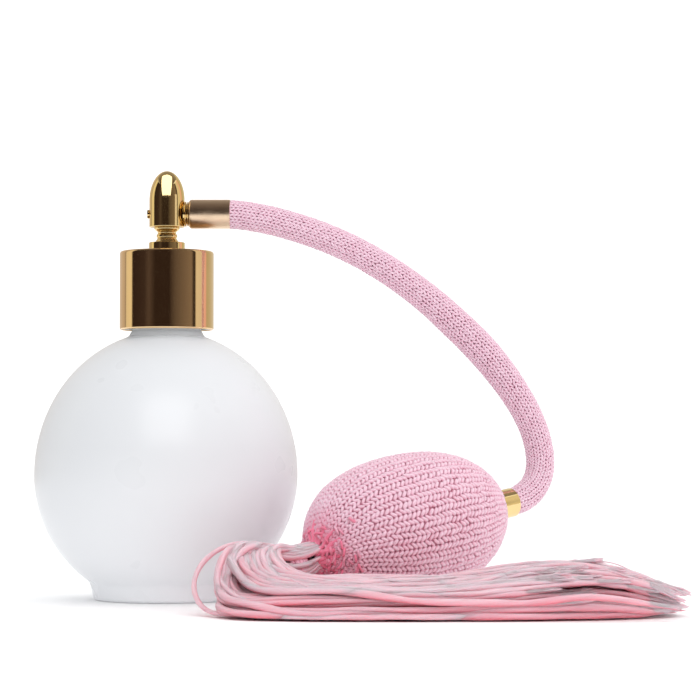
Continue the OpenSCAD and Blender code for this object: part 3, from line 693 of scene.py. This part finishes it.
def make_bulb():
    across, up = frame_from(BULB_AXIS)
    half, radius = BULB_A - 0.5, BULB_R - 0.85
    # distance along the outline, from the tail to the hose, so that the courses are evenly spaced
    s = -half * np.cos(np.linspace(0, math.pi, 400))
    outline_r = np.maximum(egg(s, half, radius), 0)
    outline = np.concatenate([[0], np.cumsum(np.hypot(np.diff(s), np.diff(outline_r)))])
    first = np.interp(3.6, outline_r[:200], outline[:200])
    last = np.interp(-4.35, -outline_r[200:], outline[200:])
    courses = int((last - first) / 1.45)
    pitch = (last - first) / (courses + 0.4)

    def surface(angle, course):
        at = np.clip(first + course * pitch, first, last)
        here, r = np.interp(at, outline, s), np.interp(at, outline, outline_r)
        slope = np.gradient(outline_r, s)
        lean = np.interp(at, outline, np.clip(slope, -8, 8))
        out = np.cos(angle)[:, None] * across + np.sin(angle)[:, None] * up
        normal = out - lean[:, None] * BULB_AXIS
        normal /= np.linalg.norm(normal, axis=1)[:, None]
        # the gathers near the tail make the surface uneven
        pucker = 0.5 * np.clip(1 - course / 8, 0, 1) * np.sin(9 * angle + 1.3 * np.sin(3 * angle))
        point = BULB_CENTRE + here[:, None] * BULB_AXIS + (r + pucker)[:, None] * out + sag(here)
        point[:, 2] = np.maximum(point[:, 2], 1.0)
        return point, normal, r

    def thickness(r, along):
        return 0.36 + 0.26 * np.clip(r / radius, 0, 1)

    def tone(r, along):
        # painted shade: the courses at the gathered tail, where the net folds up, are toned a deeper pink
        return -0.8 * np.clip(1 - along / 7.0, 0, 1)

    soup = Soup()
    # the ground sheet: painted shade seen between the stitches
    keep = (outline >= first - 0.5) & (outline <= last + 0.5)
    ground, faces, uvs = lathe(np.stack([outline_r[keep] + 0.05, s[keep]], -1), axis=BULB_AXIS, origin=BULB_CENTRE,
                               segments=108)
    ground = ground + sag((ground - BULB_CENTRE) @ BULB_AXIS)
    ground[:, 2] = np.maximum(ground[:, 2], 0.3)
    soup.add(ground, faces, uvs, slot=1)
    knit(soup, surface, BULB_WALES, courses, thickness, 1.15, tone=tone)
    gather_tail(soup, across, up)
    net = soup.build("bulb_net_knit", [BULB_YARN, GROUND])
    return place(net, "spray_head", "pink_knit", "bulb_net")


def make_rubber():
    """The rubber bulb inside the net. Its two mouths stay where the valve and the connector are."""
    half, radius, wall, mouth = BULB_A - 1.9, BULB_R - 1.8, 2.0, 4.2
    s = half * np.cos(np.linspace(0, math.pi, 60))
    outside = [(float(np.maximum(egg(v, half, radius), mouth + 0.9)), v) for v in s]
    inside = [(float(np.maximum(egg(v, half - wall, radius - wall), mouth)), v * (half - 0.3) / half)
              for v in s[::-1]]
    soup = Soup()
    points, faces, uvs = lathe(np.array(outside + inside + outside[:1]), axis=BULB_AXIS, origin=BULB_CENTRE,
                               segments=72)
    points = points + sag((points - BULB_CENTRE) @ BULB_AXIS)
    points[:, 2] = np.maximum(points[:, 2], 1.6)
    soup.add(points, faces, uvs)
    return place(soup.build("rubber_bulb_skin", [BULB_RUBBER]), "spray_head", "bulb_rubber", "rubber_bulb")


GATHER_SIDE = math.pi * 1.2


def gather_tail(soup, across, up):
    """Pleats and small loops where the net is drawn together at its tail."""
    pleats = 19
    for k in range(pleats):
        angle = (k + rng.uniform(-0.25, 0.25)) * 2 * math.pi / pleats
        out = math.cos(angle) * across + math.sin(angle) * up
        stations = ((-30.5, 9.3), (-32.8, 6.6), (-34.4, 4.2), (-35.6, 2.9), (-36.6, 1.2))
        line = np.array([on_axis(s) + r * out + sag(s) for s, r in stations])
        line += rng.normal(0, 0.25, line.shape)
        points, faces, uvs = sweep(smooth_path(line, 0.6), rng.uniform(0.6, 0.85), 8)
        # painted light and shade: one side of each pleat is toned lighter and the other deeper; the base tone varies at
        # random
        tone = rng.uniform(-0.1, 0.3) + 0.35 * np.tile(np.cos(np.arange(8) * math.pi / 4), len(points) // 8)
        soup.add(points, faces, uvs, 0, tone)
    for k in range(84):
        # two thirds of them sit low and toward the front, where the gathers face
        angle, s = rng.uniform(0, 2 * math.pi), rng.uniform(-34.0, -32.6)
        if k % 3:
            angle, s = rng.normal(GATHER_SIDE, 0.55), rng.uniform(-34.0, -27.5)
        out = math.cos(angle) * across + math.sin(angle) * up
        round_way = -math.sin(angle) * across + math.cos(angle) * up
        base = on_axis(s) + (egg(s, BULB_A, BULB_R) + 0.1) * out + sag(s)
        t = np.linspace(-0.3, math.pi + 0.3, 9)
        size = rng.uniform(0.7, 1.3)
        line = (base + size * np.cos(t)[:, None] * (round_way + rng.normal(0, 0.4) * BULB_AXIS)
                + 0.7 * size * np.sin(t)[:, None] * (out - 0.7 * BULB_AXIS))
        points, faces, uvs = sweep(smooth_path(line, 0.4), 0.4, 6)
        soup.add(points, faces, uvs, 0, np.full(len(points), rng.uniform(-0.15, 0.55)))


# ------------------------------------------------------------ tassel


def pile_height(x, layer, layers):
    """Height of a layer's centre in the pile: packed next to the bulb, looser further out, and thin at the ends."""
    top = np.interp(x, [30, 44, 85, 100, 124, 134, 144, 153], [9, 7.6, 8.6, 11.2, 13.0, 8.6, 4.6, 2.6])
    return 1.15 + (top - 1.15) * layer / max(layers - 1, 1)


def lane_path(lane, layer, layers, end):
    """Centre line of one strand. lane runs from 0, next to the bulb, to 1, nearest the front; layer counts up.

    The strand leaves the gathered tail of the net, passes over the knot, and is thrown over to the left: there it
    turns back, and runs along the floor to its end on the right."""
    across, up = frame_from(BULB_AXIS)
    level = np.array([BULB_AXIS[0], BULB_AXIS[1], 0]) / math.hypot(BULB_AXIS[0], BULB_AXIS[1])
    hand = 1 if 2 * layer >= layers - 1 else -1
    side = hand * math.acos(max(-1.0, min(1.0, 1 - 2 * lane + rng.normal(0, 0.12))))
    out = math.cos(side) * across + math.sin(side) * up
    down = np.array([0, 0, -1.0])
    share = layer / max(layers - 1, 1)
    knot = on_axis(-KNOT_S) + KNOT_DROP * down
    tail = on_axis(-BULB_A + 1.0) + rng.uniform(1.6, 3.6) * out + sag(-BULB_A + 1.0)
    over = knot + rng.uniform(4.5, 5.1) * out + 0.8 * level
    past = knot + rng.uniform(3.2, 4.4) * out - 5.2 * level
    crest = np.array([32.0 - 9.5 * lane, -51.5 - 7.5 * lane, 11.5 + 7.6 * share - 1.5 * abs(lane - 0.35)])
    left = np.array([28.0 - 9.4 * lane, -55 - 15 * lane, 8.0 + 4.8 * share - 2.4 * lane])
    low = np.array([29.0 - 8.0 * lane, -56.5 - 24 * lane, 3.6 + 3.6 * share - 1.6 * lane])
    lane_y = -49.5 - 43.5 * lane
    turn = np.array([33 - 6.5 * lane, -55.5 - 32.5 * lane, 1.3 + 5.2 * share * (1 - 0.45 * lane)])
    drift, wave, phase = rng.normal(0, 2.2), rng.uniform(0.4, 1.4), rng.uniform(0, 6.28)
    stops = np.array([43, 56, 70, 84, 98, 111, 123, 133, 142, 150])
    stops = np.append(stops[stops < end - 6], end)
    ahead = np.clip((stops - 35) / 100, 0, 1)
    middle = -62.0
    narrow = np.interp(stops, [100, 125, 140, 152], [1.0, 0.84, 0.55, 0.3])
    y = lane_y + drift * ahead + wave * np.sin(stops / 17 + phase)
    y = middle + (np.clip(y, -94.3, -47.5) - middle) * narrow
    # a hump at the edges: the outer lanes lie lower
    edge = math.sqrt(max(0.0, 1 - (2 * lane - 1) ** 2)) ** 0.7
    z = pile_height(stops, layer, layers) * (0.25 + 0.75 * edge) + rng.normal(0, 0.25, len(stops))
    floor = np.stack([stops, y, z], -1)
    bend = np.array([tail, over, past, crest, left, low, turn])
    bend[3:] += rng.normal(0, 1, (4, 3)) * np.array([0.9, 0.8, 0.35])
    points = np.vstack([bend, floor])
    points[:, 2] = np.maximum(points[:, 2], 1.15)
    return points


def strand(soup, path, angle, thick, tone_shift=0.0):
    """One silky strand along a path: a loose bundle of filaments, slightly twisted, with a frayed end."""
    sides = 10
    ring = np.arange(sides) * 2 * math.pi / sides
    n = len(path)
    run = np.arange(n) * 1.5
    radius = thick * (1 + 0.08 * np.sin(run / 6 + angle) + 0.05 * np.sin(run / 2.3 + 2 * angle))
    radius *= np.clip(run / 14 + 0.5, 0, 1) * np.clip(run[::-1] / 12, 0.2, 1)
    twist = run[:, None] / 9 + angle
    shape = 1 + 0.09 * np.cos(2 * (ring[None] - twist)) + 0.05 * np.cos(3 * (ring[None] + 0.7 * twist))
    points, faces, uvs = sweep(path, radius, sides, start=(0, 0, 1), shape=shape)
    points[:, 2] = np.maximum(points[:, 2], 0.03)
    # painted light and shade: strands higher in the pile and the top side of each strand get a lighter tone, the
    # underside a deeper one; the last terms vary along the strand and at random
    painted_height_light = np.clip((path[:, 2] - 1) / pile_top(path[:, 0]), 0, 1)
    tone = (np.repeat(0.12 + 0.42 * painted_height_light, sides) + 0.52 * np.tile(np.cos(ring), n)
            + np.repeat(0.10 * np.sin(run / 7 + 3 * angle), sides) + tone_shift)
    soup.add(points, faces, uvs, 0, tone)
    frayed_end(soup, path, angle)


def pile_top(x):
    return np.interp(x, [18, 25, 33, 44, 85, 100, 124, 134, 144, 153], [14, 17, 15, 8, 9, 12, 13, 9, 5, 3])


def pile_core(soup):
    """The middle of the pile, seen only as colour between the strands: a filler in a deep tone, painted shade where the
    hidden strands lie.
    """
    stations = ((24, -63, 1, 1), (25, -63, 8, 3.5), (29, -65, 12, 5), (34, -69, 13.5, 5.5), (42, -73, 14.5, 5.4),
                (60, -74, 16.5, 5.4), (96, -72, 17, 7), (112, -69, 14.5, 7.6), (122, -67, 11.5, 6.6),
                (130, -64, 7.5, 4), (136, -62, 3.5, 2), (137, -62, 1, 1))
    sides = 24
    ring = np.arange(sides) * 2 * math.pi / sides
    points = np.array([(x, y + half * math.cos(a), max(0.5, high * max(0.0, math.sin(a)) ** 0.5))
                       for x, y, half, high in stations for a in ring])
    faces, uvs = grid_faces(len(stations), sides)
    soup.add(points, faces, uvs, 0, np.full(len(points), 0.15))


def make_tassel():
    soup = Soup()
    pile_core(soup)
    lanes = 26
    for k in range(lanes):
        lane = k / (lanes - 1)
        layers = 2 + int(round(3.2 * math.sqrt(max(0.0, 1 - (2 * lane - 1) ** 2))))
        for layer in range(layers):
            reach = rng.uniform(0, 1)
            high = layer / max(layers - 1, 1) * (1 - lane)
            end = 147.0 - 34 * reach ** 1.7 - 14 * high - 8 * abs(lane - 0.55)
            path = relax(smooth_path(lane_path(lane, layer, layers, end), 1.5), 8)
            path[:, 2] = np.maximum(path[:, 2], 1.1)
            strand(soup, path, rng.uniform(0, 6.28), rng.uniform(0.74, 0.98), rng.normal(0, 0.13))
    # strands that turn straight down from the crest and run along the top of the pile
    for k in range(34):
        share = (k + rng.uniform(-0.3, 0.3)) / 27
        angle = math.radians(rng.uniform(-60, 60))
        knot = on_axis(-KNOT_S) + np.array([0, 0, -KNOT_DROP])
        start = on_axis(-BULB_A + 1.0) + sag(-BULB_A + 1.0) + np.array([0, 2.5 * math.sin(angle), 2.5 * math.cos(angle)])
        over = knot + np.array([1.0, 4.9 * math.sin(angle), 4.9 * math.cos(angle)])
        crest = np.array([35.5 - 11.5 * share, -51.5 - 5 * share, 17.6 - 1.2 * share])
        front = np.array([35.5 - 9.5 * share, -59 - 9 * share, 13.4 - 2.6 * share])
        below = np.array([42.5 - 9 * share, -64 - 16 * share, 10.2 - 2.4 * share])
        right = np.array([56 - 4 * share, -66 - 20 * share, 9.4 - 1.8 * share])
        end = rng.uniform(112, 146)
        stops = np.append(np.arange(72, end - 8, 15), end)
        y = -64 - 22 * share + np.cumsum(rng.normal(0, 1.5, len(stops)))
        z = pile_top(stops) * np.sqrt(np.clip(1 - ((y + 70) / 27) ** 2, 0.1, 1)) + 0.9
        line = np.vstack([start, over, crest, front, below, right, np.stack([stops, np.clip(y, -93, -50), z], -1)])
        line[2:] += rng.normal(0, 0.5, (len(line) - 2, 3))
        strand(soup, relax(smooth_path(line, 1.5), 6), rng.uniform(0, 6.28), rng.uniform(0.7, 0.95),
               rng.normal(0.02, 0.13))
    # one strand lies apart, in a wide loop at the far left
    loop = [on_axis(-KNOT_S) + np.array([-1.5, -2.5, 1.6]), (28, -51, 18.6), (20.5, -54.5, 18.0), (14.5, -59, 14.0),
            (12.2, -63, 9), (13, -68, 4.4), (17, -75, 1.3), (25, -84, 1.1), (38, -92, 1.1), (55, -94, 1.1),
            (80, -93.5, 1.1), (105, -90, 1.1)]
    strand(soup, relax(smooth_path(loop, 1.5), 4), 1.0, 0.72, 0.25)
    # stray filaments over the pile
    for _ in range(26):
        x, lane_y = rng.uniform(35, 100), rng.uniform(-90, -52)
        length = rng.uniform(20, 40)
        stops = x + length * np.linspace(0, 1, 5)
        y = lane_y + np.cumsum(rng.normal(0, 1.6, 5))
        z = pile_top(stops) * np.sqrt(np.clip(1 - ((y + 71) / 25) ** 2, 0.02, 1)) + 1.6 + rng.normal(0, 0.3, 5)
        line = smooth_path(np.stack([stops, np.clip(y, -94, -49), z], -1), 1.5)
        points, faces, uvs = sweep(line, 0.17, 5, start=(0, 0, 1))
        soup.add(points, faces, uvs, 0, np.full(len(points), 0.95))
    place(soup.build("tassel_strands", [SILK]), "spray_head", "pink_strands", "tassel")


def frayed_end(soup, path, angle):
    """Loose filaments past the end of a strand."""
    tip, before = path[-1], path[-4]
    ahead = (tip - before) / np.linalg.norm(tip - before)
    for i in range(7):
        t = angle + i * 0.9
        out = np.array([0, math.cos(t), abs(math.sin(t))])
        reach = rng.uniform(-2.0, 2.2)
        line = np.array([tip - ahead * 9 + out * 0.5, tip - ahead * 4 + out * 0.7,
                         tip + ahead * reach + out * rng.uniform(0.6, 1.5)])
        line[:, 2] = np.maximum(line[:, 2], 0.35)
        points, faces, uvs = sweep(smooth_path(line, 0.9), 0.28, 5, start=(0, 0, 1))
        soup.add(points, faces, uvs, 0, np.full(len(points), 0.95))


def make_knot():
    """The tie behind the bulb's tail: gathered yarn wound round the strands."""
    soup = Soup()
    low, high = node_box("tassel_knot")
    centre = (low + high) / 2
    across, up = frame_from(BULB_AXIS)
    soup.add(*lathe([(0.01, -3.6), *[(4.4 * math.cos(t), 3.6 * math.sin(t)) for t in np.linspace(-1.35, 1.35, 16)],
                     (0.01, 3.6)], axis=BULB_AXIS, origin=centre, segments=48))
    for turn in range(5):
        offset = (turn - 2) * 1.15
        r = 4.2 * math.sqrt(max(0.1, 1 - (offset / 4.2) ** 2))
        t = np.linspace(0, 2 * math.pi, 49)
        loop = (centre + offset * BULB_AXIS + (t[:, None] / 6.28 - 0.5) * 0.5 * BULB_AXIS
                + r * (np.cos(t)[:, None] * across + np.sin(t)[:, None] * up))
        soup.add(*sweep(loop, 0.72, 8, start=tuple(BULB_AXIS)), tone=np.full(49 * 8, 0.55))
    place(soup.build("tassel_tie", [BULB_YARN]), "spray_head", "pink_strands", "tassel_knot")


# ------------------------------------------------------------ studio


def glow_card(name, points, faces, colour_of):
    """A card that only reflections see. colour_of(tree) gives the socket of its colour."""
    mesh = bpy.data.meshes.new(name)
    mesh.from_pydata(points, [], faces)
    card = bpy.data.objects.new(name, mesh)
    bpy.context.scene.collection.objects.link(card)
    material = bpy.data.materials.new(name)
    material.use_nodes = True
    tree = material.node_tree
    tree.nodes.clear()
    emission = add_node(tree, "ShaderNodeEmission", {"Color": colour_of(tree)})
    output = add_node(tree, "ShaderNodeOutputMaterial")
    tree.links.new(emission.outputs[0], output.inputs["Surface"])
    mesh.materials.append(material)
    card.visible_camera = False
    card.visible_diffuse = False
    card.visible_shadow = False
    card.visible_transmission = False


def area_light(name, at, target, size, energy):
    data = bpy.data.lights.new(name, "AREA")
    data.shape = "RECTANGLE"
    data.size, data.size_y = size
    data.energy = energy
    light = bpy.data.objects.new(name, data)
    bpy.context.scene.collection.objects.link(light)
    light.location = at
    light.rotation_euler = (Vector(target) - Vector(at)).to_track_quat("-Z", "Y").to_euler()
    return light


def make_stage():
    scene = bpy.context.scene
    scene.view_settings.view_transform = "Standard"
    world = bpy.data.worlds.new("studio")
    scene.world = world
    world.use_nodes = True
    tree = world.node_tree
    tree.nodes["Background"].inputs["Strength"].default_value = 1.3
    # white ahead and behind, and darker to the left and right
    way = add_node(tree, "ShaderNodeSeparateXYZ", {"Vector": add_node(tree, "ShaderNodeTexCoord").outputs["Generated"]})
    sideways = add_node(tree, "ShaderNodeMapRange", {"Value": way.outputs["X"]})
    sideways.inputs["From Min"].default_value = -1.0
    tree.links.new(ramp(tree, sideways.outputs["Result"],
                        [(0.02, (0.16, 0.165, 0.18)), (0.4, (1.0, 1.0, 1.0)), (0.65, (1.0, 1.0, 1.0)),
                         (0.97, (0.80, 0.80, 0.81))]), tree.nodes["Background"].inputs["Color"])

    bpy.ops.mesh.primitive_plane_add(size=30.0, location=(0, 0, -0.0002))
    floor = bpy.context.object
    floor.name = "floor"
    material, tree, shader = new_material("floor_paper", Roughness=0.9, Specular_IOR_Level=0.0)
    tree.links.new(ramp(tree, noise_of(tree, 3.0, vector=object_vector(tree)),
                        [(0.3, (0.965, 0.965, 0.965)), (0.7, (0.975, 0.975, 0.975))]), shader.inputs["Base Color"])
    floor.data.materials.append(material)


def make_lights():
    sun = bpy.data.objects.new("ceiling", bpy.data.lights.new("ceiling", "SUN"))
    bpy.context.scene.collection.objects.link(sun)
    sun.data.energy, sun.data.angle = 0.55, math.radians(100)
    sun.visible_glossy = False
    # each softbox is one object's highlight, and adds nothing else
    for name, lit, at, target, size, energy in (
            ("tall_softbox", "head_bullet", (0.0, -0.21, 0.38), (0.0, -0.08, 0.19), (0.42, 0.54), 1.6),
            ("side_softbox", "head_bullet", (0.54, -0.25, 0.13), (0.0, 0.0, 0.12), (0.16, 0.30), 0.10),
            ("small_softbox", "bottle_glass", (0.026, -0.376, 0.364), (0.0, 0.0, 0.036), (0.34, 0.34), 1.4)):
        softbox = area_light(name, at, target, size, energy)
        softbox.visible_diffuse = False
        lit_objects = bpy.data.collections.new(name + "_lights")
        lit_objects.objects.link(bpy.data.objects[lit])
        softbox.light_linking.receiver_collection = lit_objects

    # the room that the metal reflects: dark in front, and light at the sides
    radius, high, columns = 0.8, 0.8, 120
    turn = [2 * math.pi * i / columns - math.pi for i in range(columns + 1)]
    points = [(radius * math.sin(a), -radius * math.cos(a), z) for a in turn for z in (0.0, high)]
    faces = [(2 * i, 2 * i + 2, 2 * i + 3, 2 * i + 1) for i in range(columns)]

    def walls(tree):
        way = add_node(tree, "ShaderNodeSeparateXYZ", {"Vector": object_vector(tree)})
        back = add_node(tree, "ShaderNodeMath", {0: way.outputs["Y"]}, operation="MULTIPLY")
        back.inputs[1].default_value = -1.0
        angle = add_node(tree, "ShaderNodeMath", {0: way.outputs["X"], 1: back.outputs[0]}, operation="ARCTAN2")
        share = add_node(tree, "ShaderNodeMapRange", {"Value": angle.outputs[0]})
        share.inputs["From Min"].default_value = -math.pi
        share.inputs["From Max"].default_value = math.pi
        stops = [(-178, (0.80, 0.72, 0.64)), (-122, (0.62, 0.54, 0.45)), (-115, (0.36, 0.33, 0.28)),
                 (-112, (0.86, 0.80, 0.62)), (-91, (0.95, 0.88, 0.66)), (-88, (0.035, 0.022, 0.02)),
                 (-52, (0.05, 0.034, 0.03)), (-40, (0.095, 0.072, 0.065)), (-24, (0.034, 0.022, 0.018)),
                 (10, (0.032, 0.02, 0.016)), (24, (0.12, 0.095, 0.08)), (66, (0.26, 0.21, 0.17)),
                 (73, (0.03, 0.02, 0.016)), (77, (0.04, 0.03, 0.02)), (80, (0.86, 0.80, 0.66)),
                 (101, (0.78, 0.74, 0.62)), (105, (0.95, 0.60, 0.62)), (114, (0.93, 0.58, 0.56)),
                 (118, (0.56, 0.52, 0.36)), (160, (0.74, 0.72, 0.62)), (178, (0.85, 0.83, 0.78))]
        return ramp(tree, share.outputs["Result"], [((a + 180) / 360, c) for a, c in stops])

    glow_card("room_walls", points, faces, walls)
    roof = [(-0.7, -0.8, high), (0.7, -0.8, high), (0.7, 1.6, high), (-0.7, 1.6, high)]

    def roof_colour(tree):
        way = add_node(tree, "ShaderNodeSeparateXYZ", {"Vector": object_vector(tree)})
        share = add_node(tree, "ShaderNodeMapRange", {"Value": way.outputs["Y"]})
        share.inputs["From Min"].default_value = -0.8
        share.inputs["From Max"].default_value = 0.32
        return ramp(tree, share.outputs["Result"],
                    [(0.0, (0.06, 0.045, 0.035)), (0.6, (0.16, 0.13, 0.11)), (1.0, (0.36, 0.33, 0.30))])

    glow_card("room_roof", roof, [(0, 1, 2, 3)], roof_colour)


make_bottle()
make_collar()
make_seat()
make_head()
make_side_arm()
make_bulb_ferrule()
net = make_bulb()
rubber = make_rubber()
make_knot()
make_tassel()
finish_cad_nodes()
# the way a hand squeezes the bulb, across its axis; the net and the rubber skin each get a mesh of their own
squeeze_way = np.array([0, 0, 1.0]) - BULB_AXIS[2] * BULB_AXIS
squeeze_way /= np.linalg.norm(squeeze_way)
for skin, left in ((net, 0.62), (rubber, 0.60)):
    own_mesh(skin)
make_stage()
make_lights()
